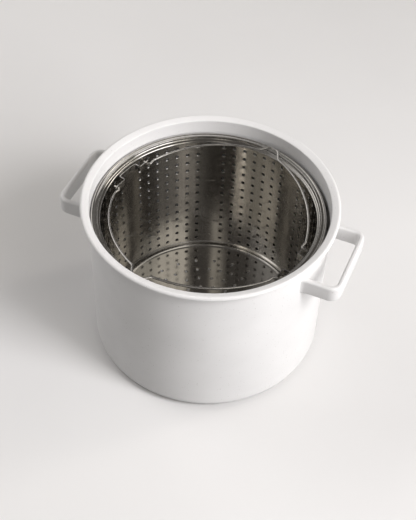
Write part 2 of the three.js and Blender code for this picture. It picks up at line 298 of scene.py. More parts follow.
def skinned(rings):
    """A closed body through rings of points, capped at both ends."""
    bm = bmesh.new()
    loops = [[bm.verts.new(Vector(point) * MM) for point in ring] for ring in rings]
    count = len(loops[0])
    for first, second in zip(loops, loops[1:]):
        for i in range(count):
            j = (i + 1) % count
            bm.faces.new((first[i], first[j], second[j], second[i]))
    bm.faces.new(reversed(loops[0]))
    bm.faces.new(loops[-1])
    bmesh.ops.recalc_face_normals(bm, faces=bm.faces)
    return bm


def strap_directions(run):
    """For each point of a level run, the level direction that points to its right."""
    rights = []
    for i, _ in enumerate(run):
        along = (run[min(i + 1, len(run) - 1)] - run[max(i - 1, 0)]).normalized()
        rights.append(Vector((along.y, -along.x, 0.0)))
    return rights


def handle_rings(middle_height):
    """Rings of points along a handle, from one weld round the grip to the other."""
    half_width = HANDLE_THICKNESS / 2
    half_height = HANDLE_HEIGHT / 2
    leg = HANDLE_SPAN / 2 - half_width
    grip = pot_outer_radius + HANDLE_GAP + half_width
    wall = pot_outer_radius - WELD_DEPTH
    free = math.sqrt(pot_outer_radius ** 2 - leg ** 2) + WELD_REACH + LEG_CLEAR
    places = [(free, -leg), (grip, -leg), (grip, leg), (free, leg)]
    run = rounded_run([Vector((x, y, 0)) for x, y in places], HANDLE_BEND - half_width, BEND_STEPS)
    section = rounded_section(half_width, half_height, HANDLE_EDGE, EDGE_STEPS)
    rings = []
    for place, right in zip(run, strap_directions(run)):
        rings.append([place + right * across + Vector((0, 0, middle_height + up)) for across, up in section])
    for side in (-1, 1):
        weld = []
        for step in range(WELD_STEPS + 1):
            share = step / WELD_STEPS
            out = WELD_SPREAD * (1 - math.sqrt(1 - (1 - share) ** 2))
            wide = rounded_section(half_width + out, half_height + out, HANDLE_EDGE + out, EDGE_STEPS)
            ring = []
            for across, up in wide:
                y = side * (leg + across)
                x = math.sqrt(wall ** 2 - y ** 2)
                if step > 0:
                    x += WELD_DEPTH + WELD_REACH * share
                ring.append(Vector((x, y, middle_height + up)))
            weld.append(ring)
        rings = weld + rings if side < 0 else rings + weld[::-1]
    return rings


handle_low, handle_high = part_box("handle_right")
handle_body = skinned(handle_rings((handle_low.z + handle_high.z) / 2 / MM))
handle_right = made_piece("handle_right_enamelled", handle_body.copy(), HANDLE_CREASE, enamel)
half_turn = Matrix.Rotation(math.pi, 3, "Z")
bmesh.ops.rotate(handle_body, verts=handle_body.verts, cent=(0, 0, 0), matrix=half_turn)
handle_left = made_piece("handle_left_enamelled", handle_body, HANDLE_CREASE, enamel)
for handle, node in ((handle_right, "handle_right"), (handle_left, "handle_left")):
    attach(handle, "pot")
    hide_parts(node)

# Basket
# A deep strainer, drawn from one sheet of stainless steel and polished, that stands loose on the pot's floor.
# Seven panels of round holes are punched through its wall from inside, and rings of holes through its floor.
BASKET_CENTRE = (-1.1235, -0.4494)
BASKET_RADIUS = 100.6
BASKET_SHEET = 0.8
BASKET_FOOT = 2.3
BASKET_CORNER = 4.0
FOOT_STEP = 0.8
FOOT_STEP_HEIGHT = 0.9
SHOULDER_FOOT = 153.2
SHOULDER_STEP = 3.4
SHOULDER_RISE = 0.9
FLANGE_TOP = 157.4
FLANGE_WIDTH = 5.5
CURL_RADIUS = 1.5
CURL_RISE = 0.5
NECK_ROUND = 0.9
SHOULDER_ROUND = 2.0
BAND_EDGE = 0.25
HOLE_GROUPS = 7
GROUP_COLUMNS = 7
LOWER_ROWS = 6
UPPER_ROWS = 7
GROUP_TURN = 2 * math.pi / HOLE_GROUPS
PLAIN_STRIP = 25.7
STRIP_ANGLE = math.radians(111.8)
STRIP_SECTORS = 6
FIRST_ROW = 14.55
TOP_ROW = 146.8
BAND_GAP = 3.14
HOLE_RADIUS = 1.6
PUNCH_RADIUS = 2.05
PUNCH_DEPTH = 0.32
HOLE_SIDES = 16
FLOOR_RIM = 86.0
FLOOR_RING_GAP = 12.5
FLOOR_INNER_RING = 13.9
FLOOR_RING_HOLES = (6, 12, 18, 24, 32, 24)
FLOOR_START = math.radians(120.9)
FLOOR_HOLE_RADIUS = 1.5
FLOOR_PUNCH_RADIUS = 1.9
MARK_HEIGHT = 100.0
MARK_LENGTH = 9.5
MARK_WIDTH = 1.1
MARK_RISE = 0.35
MARK_BEVEL = 0.3
MARK_ROW = 8
MARK_SECTORS = 4
WELD_MERGE = 0.02 * MM
BASKET_STEEL = (0.60, 0.585, 0.56, 1.0)
BASKET_STREAK = (0.50, 0.485, 0.46, 1.0)
BASKET_CREASE = 25
FOOT_CORNER_STEPS = 8
CURL_STEPS = 18
SHOULDER_STEPS = 12
DRAW_AROUND = 55.0
DRAW_UP = 9.0
DRAW_RANGE = (0.4, 0.75)
DRAW_ON_FLOOR = 0.15
WALL_START = (0.005, 0.02)
STREAK_DULL = 0.06
SMEAR_SCALE = 34.0
SMEAR_RANGE = (0.35, 0.7)
SMEAR_ROUGHNESS = (0.09, 0.16)
WATER_SCALE = 240.0
WATER_RANGE = (0.70, 0.76)
WATER_DULL = 0.12
WAVE_SCALE = 22.0
WAVE_STRENGTH = 0.10
WAVE_DEPTH = 0.002

basket_axis = Vector((*BASKET_CENTRE, 0.0)) * MM
row_count = LOWER_ROWS + UPPER_ROWS
row_pitch = (TOP_ROW - FIRST_ROW - BAND_GAP) / (row_count - 1)
row_heights = [
    FIRST_ROW + row * row_pitch + (BAND_GAP if row >= LOWER_ROWS else 0) for row in range(row_count)
]
column_turn = (GROUP_TURN - PLAIN_STRIP / BASKET_RADIUS) / (GROUP_COLUMNS - 1)
first_column = STRIP_ANGLE + GROUP_TURN / 2 - column_turn * (GROUP_COLUMNS - 1) / 2
ray_share = 0.5 * math.tan(2 * math.pi / HOLE_SIDES)
cell_shares = [-0.5, -ray_share, 0.0, ray_share]
group_sectors = GROUP_COLUMNS * len(cell_shares) + STRIP_SECTORS
strip_turn = GROUP_TURN - GROUP_COLUMNS * column_turn
mark_low = row_heights[MARK_ROW] + cell_shares[0] * row_pitch
mark_high = row_heights[MARK_ROW] + cell_shares[1] * row_pitch
mark_end = HOLE_GROUPS * group_sectors - (STRIP_SECTORS - MARK_SECTORS) // 2


def vector_math(tree, operation, *inputs):
    return add_node(tree, "ShaderNodeVectorMath", dict(enumerate(inputs)), operation=operation)


def level_direction(tree, direction):
    """A direction laid level, with a length of one."""
    flat = vector_math(tree, "MULTIPLY", direction, (1, 1, 0)).outputs[0]
    return vector_math(tree, "NORMALIZE", flat).outputs[0]


def polished_steel():
    """Drawn and polished sheet: upright draw lines on the wall, a slight waviness and water marks."""
    material, tree, shader, place = new_finish("polished_basket_steel")
    around = level_direction(tree, vector_math(tree, "SUBTRACT", place, basket_axis).outputs[0])
    height = add_node(tree, "ShaderNodeSeparateXYZ", {0: place}).outputs["Z"]
    sides = add_node(tree, "ShaderNodeSeparateXYZ", {0: around})
    drawn = add_node(tree, "ShaderNodeCombineXYZ", {
        "X": calculated(tree, "MULTIPLY", sides.outputs["X"], DRAW_AROUND),
        "Y": calculated(tree, "MULTIPLY", sides.outputs["Y"], DRAW_AROUND),
        "Z": calculated(tree, "MULTIPLY", height, DRAW_UP),
    }).outputs[0]
    lines = noise(tree, drawn, 1.0, detail=4.0)
    on_wall = spread(tree, height, *WALL_START, to_low=DRAW_ON_FLOOR)
    streaks = calculated(tree, "MULTIPLY", spread(tree, lines, *DRAW_RANGE), on_wall)
    smears = noise(tree, place, SMEAR_SCALE, detail=3.0)
    drops = noise(tree, place, WATER_SCALE, detail=1.0)
    waves = noise(tree, place, WAVE_SCALE, detail=1.0)
    tree.links.new(blended(tree, streaks, BASKET_STEEL, BASKET_STREAK), shader.inputs["Base Color"])
    smeared = spread(tree, smears, *SMEAR_RANGE, *SMEAR_ROUGHNESS)
    dull = calculated(tree, "MULTIPLY_ADD", streaks, STREAK_DULL, smeared)
    spots = spread(tree, drops, *WATER_RANGE, to_high=WATER_DULL)
    tree.links.new(calculated(tree, "ADD", dull, spots), shader.inputs["Roughness"])
    add_bump(tree, shader, waves, WAVE_STRENGTH, WAVE_DEPTH)
    shader.inputs["Metallic"].default_value = 1.0
    return material


def around_point(radius, height):
    return [(radius * math.cos(a), radius * math.sin(a), height) for a in even_angles(HOLE_SIDES)]


def hole_cell(width, height):
    """The flat square of sheet round one hole: inside face, punched edge, bore and outside face."""
    border = []
    for x, y, _ in around_point(1.0, 0.0):
        reach = 0.5 / max(abs(x), abs(y))
        border.append((x * reach * width, y * reach * height))
    rings = [
        [(x, y, 0.0) for x, y in border],
        around_point(PUNCH_RADIUS, 0.0),
        around_point(HOLE_RADIUS, PUNCH_DEPTH),
        around_point(HOLE_RADIUS, BASKET_SHEET),
        [(x, y, BASKET_SHEET) for x, y in border],
    ]
    bm = bmesh.new()
    loops = [[bm.verts.new(Vector(point) * MM) for point in ring] for ring in rings]
    for first, second in zip(loops, loops[1:]):
        for i in range(HOLE_SIDES):
            j = (i + 1) % HOLE_SIDES
            bm.faces.new((first[i], second[i], second[j], first[j]))
    return bm


def new_pattern(name, sizes):
    """An empty node tree with a mesh going in and out, named sizes and a finish."""
    tree = bpy.data.node_groups.new(name, "GeometryNodeTree")
    tree.interface.new_socket("Geometry", in_out="INPUT", socket_type="NodeSocketGeometry")
    for label, value in sizes.items():
        kind = "NodeSocketInt" if isinstance(value, int) else "NodeSocketFloat"
        tree.interface.new_socket(label, in_out="INPUT", socket_type=kind)
    tree.interface.new_socket("Finish", in_out="INPUT", socket_type="NodeSocketMaterial")
    tree.interface.new_socket("Geometry", in_out="OUTPUT", socket_type="NodeSocketGeometry")
    return tree, add_node(tree, "NodeGroupInput").outputs


def finished_pattern(tree, geometry, given):
    """Ends a tree: real faces, welded, with their finish."""
    real = add_node(tree, "GeometryNodeRealizeInstances", {"Geometry": geometry}).outputs[0]
    welded = add_node(tree, "GeometryNodeMergeByDistance", {"Geometry": real, "Distance": WELD_MERGE})
    coating = {"Geometry": welded.outputs[0], "Material": given["Finish"]}
    coated = add_node(tree, "GeometryNodeSetMaterial", coating)
    add_node(tree, "NodeGroupOutput", {"Geometry": coated.outputs[0]})


def worked_mesh(holder):
    """The plain mesh that an object's modifiers give. The object itself is taken away."""
    worked = holder.evaluated_get(bpy.context.evaluated_depsgraph_get())
    mesh = bpy.data.meshes.new_from_object(worked)
    bpy.data.objects.remove(holder)
    return mesh


def patterned(name, bm, tree, sizes, finish):
    """Runs a tree on a mesh with these sizes, and gives back the plain mesh that comes out."""
    holder = new_object(name, bm)
    modifier = holder.modifiers.new(name, "NODES")
    modifier.node_group = tree
    values = dict(sizes, Finish=finish)
    for socket in tree.interface.items_tree:
        if socket.in_out == "INPUT" and socket.name in values:
            modifier[socket.identifier] = values[socket.name]
    return worked_mesh(holder)


def wall_holes(finish):
    """Panels of hole cells, laid out flat by column and row and then wrapped round the basket."""
    sizes = {
        "Groups": HOLE_GROUPS,
        "Columns": GROUP_COLUMNS,
        "Rows": row_count,
        "Lower Rows": LOWER_ROWS,
        "First Column": first_column,
        "Column Turn": column_turn,
        "Group Turn": GROUP_TURN,
        "First Row": FIRST_ROW * MM,
        "Row Pitch": row_pitch * MM,
        "Band Gap": BAND_GAP * MM,
        "Radius": BASKET_RADIUS * MM,
        "Centre X": BASKET_CENTRE[0] * MM,
        "Centre Y": BASKET_CENTRE[1] * MM,
    }
    tree, given = new_pattern("wall_holes", sizes)
    index = add_node(tree, "GeometryNodeInputIndex").outputs[0]
    column = calculated(tree, "FLOORED_MODULO", index, given["Columns"])
    line = calculated(tree, "FLOOR", calculated(tree, "DIVIDE", index, given["Columns"]))
    row = calculated(tree, "FLOORED_MODULO", line, given["Rows"])
    group = calculated(tree, "FLOOR", calculated(tree, "DIVIDE", line, given["Rows"]))
    start = calculated(tree, "MULTIPLY_ADD", group, given["Group Turn"], given["First Column"])
    turn = calculated(tree, "MULTIPLY_ADD", column, given["Column Turn"], start)
    is_lower = calculated(tree, "LESS_THAN", row, given["Lower Rows"])
    is_upper = calculated(tree, "SUBTRACT", 1.0, is_lower)
    rise = calculated(tree, "MULTIPLY_ADD", row, given["Row Pitch"], given["First Row"])
    flat_place = add_node(tree, "ShaderNodeCombineXYZ", {
        "X": calculated(tree, "MULTIPLY", turn, given["Radius"]),
        "Y": calculated(tree, "MULTIPLY_ADD", is_upper, given["Band Gap"], rise),
    }).outputs[0]
    panel = calculated(tree, "MULTIPLY", given["Columns"], given["Rows"])
    count = calculated(tree, "MULTIPLY", panel, given["Groups"])
    points = add_node(tree, "GeometryNodePoints", {"Count": count, "Position": flat_place}).outputs[0]
    cells = add_node(tree, "GeometryNodeInstanceOnPoints", {"Points": points, "Instance": given["Geometry"]})
    sheet = add_node(tree, "GeometryNodeRealizeInstances", {"Geometry": cells.outputs[0]}).outputs[0]
    place = add_node(tree, "GeometryNodeInputPosition").outputs[0]
    flat = add_node(tree, "ShaderNodeSeparateXYZ", {0: place})
    angle = calculated(tree, "DIVIDE", flat.outputs["X"], given["Radius"])
    radius = calculated(tree, "ADD", flat.outputs["Z"], given["Radius"])
    round_place = add_node(tree, "ShaderNodeCombineXYZ", {
        "X": calculated(tree, "MULTIPLY_ADD", radius, calculated(tree, "COSINE", angle), given["Centre X"]),
        "Y": calculated(tree, "MULTIPLY_ADD", radius, calculated(tree, "SINE", angle), given["Centre Y"]),
        "Z": flat.outputs["Y"],
    }).outputs[0]
    wrapped = add_node(tree, "GeometryNodeSetPosition", {"Geometry": sheet, "Position": round_place})
    finished_pattern(tree, wrapped.outputs[0], given)
    cell = hole_cell(column_turn * BASKET_RADIUS, row_pitch)
    return patterned("wall_holes", cell, tree, sizes, finish)


def joined(tree, shapes):
    join = add_node(tree, "GeometryNodeJoinGeometry")
    for shape in shapes:
        tree.links.new(shape, join.inputs[0])
    return join.outputs[0]


def floor_holes(rim, finish):
    """The flat floor inside its rim, filled round rings of holes, with a punched edge and a bore in each."""
    sizes = {
        "Inner Ring": FLOOR_INNER_RING * MM,
        "Ring Gap": FLOOR_RING_GAP * MM,
        "Start": FLOOR_START,
        "Hole Radius": FLOOR_HOLE_RADIUS * MM,
        "Punch Radius": FLOOR_PUNCH_RADIUS * MM,
        "Punch Depth": PUNCH_DEPTH * MM,
        "Sheet": BASKET_SHEET * MM,
        "Foot": BASKET_FOOT * MM,
        "Centre X": BASKET_CENTRE[0] * MM,
        "Centre Y": BASKET_CENTRE[1] * MM,
    }
    tree, given = new_pattern("floor_holes", sizes)
    border = add_node(tree, "GeometryNodeMeshToCurve", {"Mesh": given["Geometry"]}).outputs[0]
    middle = {"X": given["Centre X"], "Y": given["Centre Y"]}
    centre = add_node(tree, "ShaderNodeCombineXYZ", middle).outputs[0]
    turn = add_node(tree, "ShaderNodeCombineXYZ", {"Z": given["Start"]}).outputs[0]
    rings = []
    for ring, holes in enumerate(FLOOR_RING_HOLES):
        radius = calculated(tree, "MULTIPLY_ADD", given["Ring Gap"], float(ring), given["Inner Ring"])
        circle = add_node(tree, "GeometryNodeCurvePrimitiveCircle", {"Resolution": holes, "Radius": radius})
        placed = add_node(tree, "GeometryNodeTransform", {
            "Geometry": circle.outputs[0],
            "Translation": centre,
            "Rotation": turn,
        })
        rings.append(placed.outputs[0])
    corners = add_node(tree, "GeometryNodeCurveToPoints", {"Curve": joined(tree, rings)}, mode="EVALUATED")
    points = corners.outputs[0]

    def on_points(shape):
        each = {"Points": points, "Instance": shape}
        return add_node(tree, "GeometryNodeInstanceOnPoints", each).outputs[0]

    def moved(shape, height):
        shift = add_node(tree, "ShaderNodeCombineXYZ", {"Z": height}).outputs[0]
        return add_node(tree, "GeometryNodeTransform", {"Geometry": shape, "Translation": shift}).outputs[0]

    def face(hole_radius, height):
        circle = {"Resolution": HOLE_SIDES, "Radius": hole_radius}
        ring = add_node(tree, "GeometryNodeCurvePrimitiveCircle", circle).outputs[0]
        holes = add_node(tree, "GeometryNodeRealizeInstances", {"Geometry": on_points(ring)}).outputs[0]
        filled = add_node(tree, "GeometryNodeFillCurve", {"Curve": joined(tree, [border, holes])})
        return moved(filled.outputs[0], height)

    def flipped(shape):
        return add_node(tree, "GeometryNodeFlipFaces", {"Mesh": shape}).outputs[0]

    top = calculated(tree, "ADD", given["Foot"], given["Sheet"])
    edge = calculated(tree, "SUBTRACT", top, given["Punch Depth"])
    bore_depth = calculated(tree, "SUBTRACT", given["Sheet"], given["Punch Depth"])
    punch = add_node(tree, "GeometryNodeMeshCone", {
        "Vertices": HOLE_SIDES,
        "Radius Top": given["Punch Radius"],
        "Radius Bottom": given["Hole Radius"],
        "Depth": given["Punch Depth"],
    }, fill_type="NONE").outputs[0]
    bore = add_node(tree, "GeometryNodeMeshCone", {
        "Vertices": HOLE_SIDES,
        "Radius Top": given["Hole Radius"],
        "Radius Bottom": given["Hole Radius"],
        "Depth": bore_depth,
    }, fill_type="NONE").outputs[0]
    sheet = joined(tree, [
        face(given["Punch Radius"], top),
        flipped(face(given["Hole Radius"], given["Foot"])),
        moved(on_points(flipped(punch)), edge),
        moved(on_points(flipped(bore)), given["Foot"]),
    ])
    finished_pattern(tree, sheet, given)
    return patterned("floor_holes", rim, tree, sizes, finish)


def wall_angles():
    """Sectors of the wall: four to each column of holes and a few to each plain strip."""
    angles = []
    for group in range(HOLE_GROUPS):
        start = first_column + group * GROUP_TURN
        for column in range(GROUP_COLUMNS):
            angles += [start + (column + share) * column_turn for share in cell_shares]
        strip_start = start + (GROUP_COLUMNS - 0.5) * column_turn
        angles += [strip_start + strip_turn * step / STRIP_SECTORS for step in range(STRIP_SECTORS)]
    return angles


def wall_levels():
    """Heights of the wall's rings: four to each row of holes."""
    levels = []
    for row, height in enumerate(row_heights):
        levels += [height + share * row_pitch for share in cell_shares]
        if row in (LOWER_ROWS - 1, row_count - 1):
            levels.append(height + row_pitch / 2)
    return levels


def made_apart(first, second, sector):
    """Whether a face of the wall is left out, for a hole cell or for the level mark."""
    middle = (first[1] + second[1]) / 2
    if sector % group_sectors >= group_sectors - STRIP_SECTORS:
        on_mark = mark_end - MARK_SECTORS <= sector < mark_end and mark_low < middle < mark_high
        return on_mark and first[0] == second[0] == BASKET_RADIUS
    on_wall = first[0] == second[0] and first[0] in (BASKET_RADIUS, BASKET_RADIUS + BASKET_SHEET)
    return on_wall and any(abs(middle - height) < row_pitch / 2 for height in row_heights)


def level_mark(bm):
    """A short level rib pressed into the plain strip from outside, to show how far to fill."""
    def outline(radius, low, high, reach):
        turns = [STRIP_ANGLE + reach * (2 * step / MARK_SECTORS - 1) for step in range(MARK_SECTORS + 1)]
        places = [(turn, low) for turn in turns] + [(turn, high) for turn in reversed(turns)]
        return [bm.verts.new(ring_place(BASKET_CENTRE, radius, turn, height)) for turn, height in places]

    low = MARK_HEIGHT - MARK_WIDTH / 2
    high = MARK_HEIGHT + MARK_WIDTH / 2
    reach = MARK_LENGTH / 2
    edge = outline(BASKET_RADIUS, mark_low, mark_high, strip_turn / STRIP_SECTORS * MARK_SECTORS / 2)
    foot = outline(BASKET_RADIUS, low, high, reach / BASKET_RADIUS)
    crest = outline(
        BASKET_RADIUS - MARK_RISE, low + MARK_BEVEL, high - MARK_BEVEL, (reach - MARK_BEVEL) / BASKET_RADIUS
    )
    count = len(edge)
    for outer, inner in ((edge, foot), (foot, crest)):
        for i in range(count):
            j = (i + 1) % count
            bm.faces.new((inner[i], inner[j], outer[j], outer[i]))
    for i in range(MARK_SECTORS):
        bm.faces.new((crest[count - 1 - i], crest[count - 2 - i], crest[i + 1], crest[i]))


def softened(corners, size):
    """A profile whose inner corners are rounded."""
    run = rounded_run([Vector((radius, height, 0)) for radius, height in corners], size, SHOULDER_STEPS)
    return [(point.x, point.y) for point in run]


def basket_profile():
    """From the floor's rim out and up outside, over the flange, and down inside to the rim again."""
    outside = BASKET_RADIUS + BASKET_SHEET
    neck = BASKET_RADIUS + SHOULDER_STEP
    curl = neck + FLANGE_WIDTH - CURL_RADIUS
    flat = FLANGE_TOP - CURL_RISE
    tuck = math.degrees(math.asin((CURL_RADIUS - BASKET_SHEET - CURL_RISE) / CURL_RADIUS))
    over = math.degrees(math.acos(1 - CURL_RISE / CURL_RADIUS))
    levels = wall_levels()
    foot_radius = BASKET_RADIUS - FOOT_STEP
    corner_outside = BASKET_CORNER + BASKET_SHEET
    corner_height = BASKET_FOOT + corner_outside
    step_low = levels[0] - FOOT_STEP_HEIGHT
    profile = [(FLOOR_RIM, BASKET_FOOT)]
    foot_turn = foot_radius - BASKET_CORNER
    profile += arc_points(foot_turn, corner_height, corner_outside, -90, 0, FOOT_CORNER_STEPS)
    profile += [(foot_radius + BASKET_SHEET, step_low)]
    profile += [(outside, level) for level in levels]
    ledge = SHOULDER_FOOT + SHOULDER_RISE
    profile += [(outside, SHOULDER_FOOT - BASKET_SHEET), (neck + BASKET_SHEET, ledge - BASKET_SHEET)]
    profile += [(neck + BASKET_SHEET, flat - BASKET_SHEET)]
    curl_end = 360 + 90 + over
    profile += arc_points(curl, FLANGE_TOP - CURL_RADIUS, CURL_RADIUS, 180 - tuck, curl_end, CURL_STEPS)
    flat_outer = curl - CURL_RADIUS * math.sin(math.radians(over))
    profile += [(flat_outer - BAND_EDGE, flat), (neck + NECK_ROUND + BAND_EDGE, flat)]
    profile += arc_points(neck + NECK_ROUND, flat - NECK_ROUND, NECK_ROUND, 90, 180, SHOULDER_STEPS)
    shoulder = [(neck, flat - NECK_ROUND - BAND_EDGE), (neck, ledge)]
    shoulder += [(BASKET_RADIUS, SHOULDER_FOOT), (BASKET_RADIUS, levels[-1])]
    profile += softened(shoulder, SHOULDER_ROUND)[:-1]
    profile += [(BASKET_RADIUS, level) for level in reversed(levels)]
    profile += [(foot_radius, step_low)]
    profile += arc_points(foot_turn, corner_height, BASKET_CORNER, 0, -90, FOOT_CORNER_STEPS)
    profile += [(FLOOR_RIM, BASKET_FOOT + BASKET_SHEET)]
    return profile


def floor_rim(angles):
    """The closed line, still level with the ground, that the floor is filled to."""
    bm = bmesh.new()
    corners = [bm.verts.new(ring_place(BASKET_CENTRE, FLOOR_RIM, a, 0.0)) for a in angles]
    for i, corner in enumerate(corners):
        bm.edges.new((corner, corners[(i + 1) % len(corners)]))
    return bm


basket_finish = polished_steel()
basket_angles = wall_angles()
basket_sheet = turned(basket_profile(), basket_angles, BASKET_CENTRE, made_apart)
level_mark(basket_sheet)
basket_sheet.from_mesh(wall_holes(basket_finish))
basket_sheet.from_mesh(floor_holes(floor_rim(basket_angles), basket_finish))
bmesh.ops.remove_doubles(basket_sheet, verts=basket_sheet.verts, dist=WELD_MERGE)
basket = made_piece("basket_perforated", basket_sheet, BASKET_CREASE, basket_finish)
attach(basket, "strainer")
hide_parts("basket")

# Hinge brackets
# Thin stainless straps spot-welded inside the basket's wall, one at each end of the hinge line.
# Both ends are bent inward and then along the wall again, and each is drilled for the pin of a bail.
HINGE_ANGLE = math.radians(-13.8)
BRACKET_SHEET = 0.8
BRACKET_TOP = 151.0
BRACKET_HEIGHT = 7.0
BRACKET_SPAN = 23.6
BRACKET_GAP = 0.5
BRACKET_BEND = 1.3
BRACKET_EDGE = 0.15
TAB_PLACE = 92.4
TAB_END = 25.0
TAB_ROUND = 3.0
PIN_HOLE_RADIUS = 1.45
PIN_SPREAD = 44.0
SPOT_SPREAD = 11.0
SPOT_DEPTH = 0.25
SPOT_RADIUS = 3.5
BRACKET_STEEL = (0.74, 0.73, 0.71, 1.0)
BRACKET_GRAIN = (0.62, 0.61, 0.59, 1.0)
BRACKET_ROUGHNESS = (0.2, 0.3)
BRACKET_LINES = (60, 60, 900)
BRACKET_CREASE = 30
BRACKET_EDGE_STEPS = 1
BRACKET_BEND_STEPS = 6
BACK_STEPS = 6
TIP_STEPS = (0.0, 0.08, 0.3, 0.7, 1.3, 2.1)
DRILL_SIDES = 24
DRILL_DEPTH = 4 * BRACKET_SHEET
DENT_SECTORS = 48
DENT_RINGS = 32
GRAIN_RANGE = (0.35, 0.7)
GRAIN_STRENGTH = 0.08
GRAIN_DEPTH = 0.0001
HANDLING_SCALE = 60.0


def worked_steel(name, bright, dark, roughness, line_scale):
    """Cut or drawn steel: fine lines, as close along each axis as the scale says, and marks of handling."""
    material, tree, shader, place = new_finish(name)
    along = add_node(tree, "ShaderNodeMapping", {"Vector": place, "Scale": line_scale}).outputs[0]
    lines = noise(tree, along, 1.0, detail=4.0)
    handling = noise(tree, place, HANDLING_SCALE)
    share = spread(tree, lines, *GRAIN_RANGE)
    tree.links.new(blended(tree, share, bright, dark), shader.inputs["Base Color"])
    tree.links.new(spread(tree, handling, *MIDDLE_RANGE, *roughness), shader.inputs["Roughness"])
    add_bump(tree, shader, lines, GRAIN_STRENGTH, GRAIN_DEPTH)
    shader.inputs["Metallic"].default_value = 1.0
    return material


def bracket_run():
    """The strap's middle line, level, with the hinge line along X."""
    leg = (BRACKET_SPAN - BRACKET_SHEET) / 2
    wall = BASKET_RADIUS - BRACKET_GAP - BRACKET_SHEET / 2
    half = math.asin(leg / wall)
    side = [Vector((TAB_PLACE, TAB_END - step, 0)) for step in TIP_STEPS]
    corners = [Vector((TAB_PLACE, TAB_END - TAB_ROUND, 0)), Vector((TAB_PLACE, leg, 0))]
    back = [half * step / BACK_STEPS for step in range(BACK_STEPS, -1, -1)]
    corners += [Vector((wall * math.cos(a), wall * math.sin(a), 0)) for a in back]
    run = side + rounded_run(corners, BRACKET_BEND, BRACKET_BEND_STEPS)
    other = [Vector((point.x, -point.y, 0)) for point in reversed(run[:-1])]
    return run + other


def bracket_strap():
    """The bent strap, its tips rounded off."""
    rings = []
    run = bracket_run()
    for place, right in zip(run, strap_directions(run)):
        end = TAB_END - abs(place.y)
        half = BRACKET_HEIGHT / 2
        if end < TAB_ROUND and place.x < TAB_PLACE + BRACKET_SHEET:
            half += math.sqrt(TAB_ROUND ** 2 - (TAB_ROUND - end) ** 2) - TAB_ROUND
        section = rounded_section(BRACKET_SHEET / 2, half, BRACKET_EDGE, BRACKET_EDGE_STEPS)
        middle = BRACKET_TOP - BRACKET_HEIGHT / 2
        rings.append([place + right * across + Vector((0, 0, middle + up)) for across, up in section])
    return skinned(rings)


def bracket_cutters():
    """Drills through the tabs, and the two dents of the welding tongs."""
    bm = bmesh.new()
    middle = BRACKET_TOP - BRACKET_HEIGHT / 2
    front = BASKET_RADIUS - BRACKET_GAP - BRACKET_SHEET
    for side in (-1, 1):
        place = Vector((TAB_PLACE, side * PIN_SPREAD / 2, middle)) * MM
        across = Matrix.Translation(place) @ Matrix.Rotation(math.pi / 2, 4, "Y")
        radius = PIN_HOLE_RADIUS * MM
        bmesh.ops.create_cone(bm, cap_ends=True, segments=DRILL_SIDES, radius1=radius, radius2=radius,
                              depth=DRILL_DEPTH * MM, matrix=across)
        dent_y = side * SPOT_SPREAD / 2
        dent_x = math.sqrt(front ** 2 - dent_y ** 2) - SPOT_RADIUS + SPOT_DEPTH
        dent = Matrix.Translation(Vector((dent_x, dent_y, middle)) * MM)
        bmesh.ops.create_uvsphere(bm, u_segments=DENT_SECTORS, v_segments=DENT_RINGS,
                                  radius=SPOT_RADIUS * MM, matrix=dent)
    return bm


def cut_mesh(body, cutters):
    """The mesh of a body with the cutters taken out of it."""
    blank = new_object("bracket_blank", body)
    tools = new_object("bracket_tools", cutters)
    cut = blank.modifiers.new("cut", "BOOLEAN")
    cut.operation = "DIFFERENCE"
    cut.solver = "MANIFOLD"
    cut.object = tools
    bm = bmesh.new()
    bm.from_mesh(worked_mesh(blank))
    bpy.data.objects.remove(tools)
    return bm


bracket_finish = worked_steel(
    "bracket_steel", BRACKET_STEEL, BRACKET_GRAIN, BRACKET_ROUGHNESS, BRACKET_LINES
)
for name, node, turn in (
    ("bracket_right_strap", "hinge_bracket_right", HINGE_ANGLE),
    ("bracket_left_strap", "hinge_bracket_left", HINGE_ANGLE + math.pi),
):
    strap = cut_mesh(bracket_strap(), bracket_cutters())
    strap.transform(Matrix.Translation(basket_axis) @ Matrix.Rotation(turn, 4, "Z"))
    bracket = made_piece(name, strap, BRACKET_CREASE, bracket_finish)
    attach(bracket, "strainer")
    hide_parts(node)

# Bails
# Two handles of round stainless wire, each bent flat in its own plane, with a hook and a pin at both ends.
# At rest they lie round the inside of the basket's mouth, and the bump in the middle rests on the flange.
WIRE_RADIUS = 1.1
WIRE_SIDES = 14
PIN_END = 96.75
HOOK_PLACE = 89.4
HOOK_RISE = 7.5
HOOK_ROUND = 2.6
RUN_BOW = 113.0
RUN_STEPS = 28
RUN_JOIN = 2
BUMP_FOOT = 23.6
FOOT_RADIUS = 98.0
BUMP_TOP = 9.6
BUMP_PLACE = 106.5
BUMP_ROUND = 5.0
TURN_STEPS = 8
TIP_PLACES = (-0.35, -0.12, 0.0)
TIP_SIZES = (1.0, 0.9, 0.62)
WIRE_CREASE = 50
BAIL_REST = 1.5
REST_GAP = 0.3
WIRE_STEEL = (0.80, 0.785, 0.76, 1.0)
WIRE_DRAWN = (0.68, 0.665, 0.64, 1.0)
WIRE_ROUGHNESS = (0.18, 0.26)
WIRE_LINES = (240, 240, 240)


def bowed_run(start, end, size, steps):
    """Points from one place to another along an outward bow of the given radius."""
    half = (end - start).length / 2
    outward = Vector((end.y - start.y, start.x - end.x, 0)).normalized()
    centre = (start + end) / 2 - outward * math.sqrt(size ** 2 - half ** 2)
    first = math.degrees(math.atan2(start.y - centre.y, start.x - centre.x))
    last = math.degrees(math.atan2(end.y - centre.y, end.x - centre.x))
    return [Vector((x, y, 0)) for x, y in arc_points(centre.x, centre.y, size, first, last, steps)]


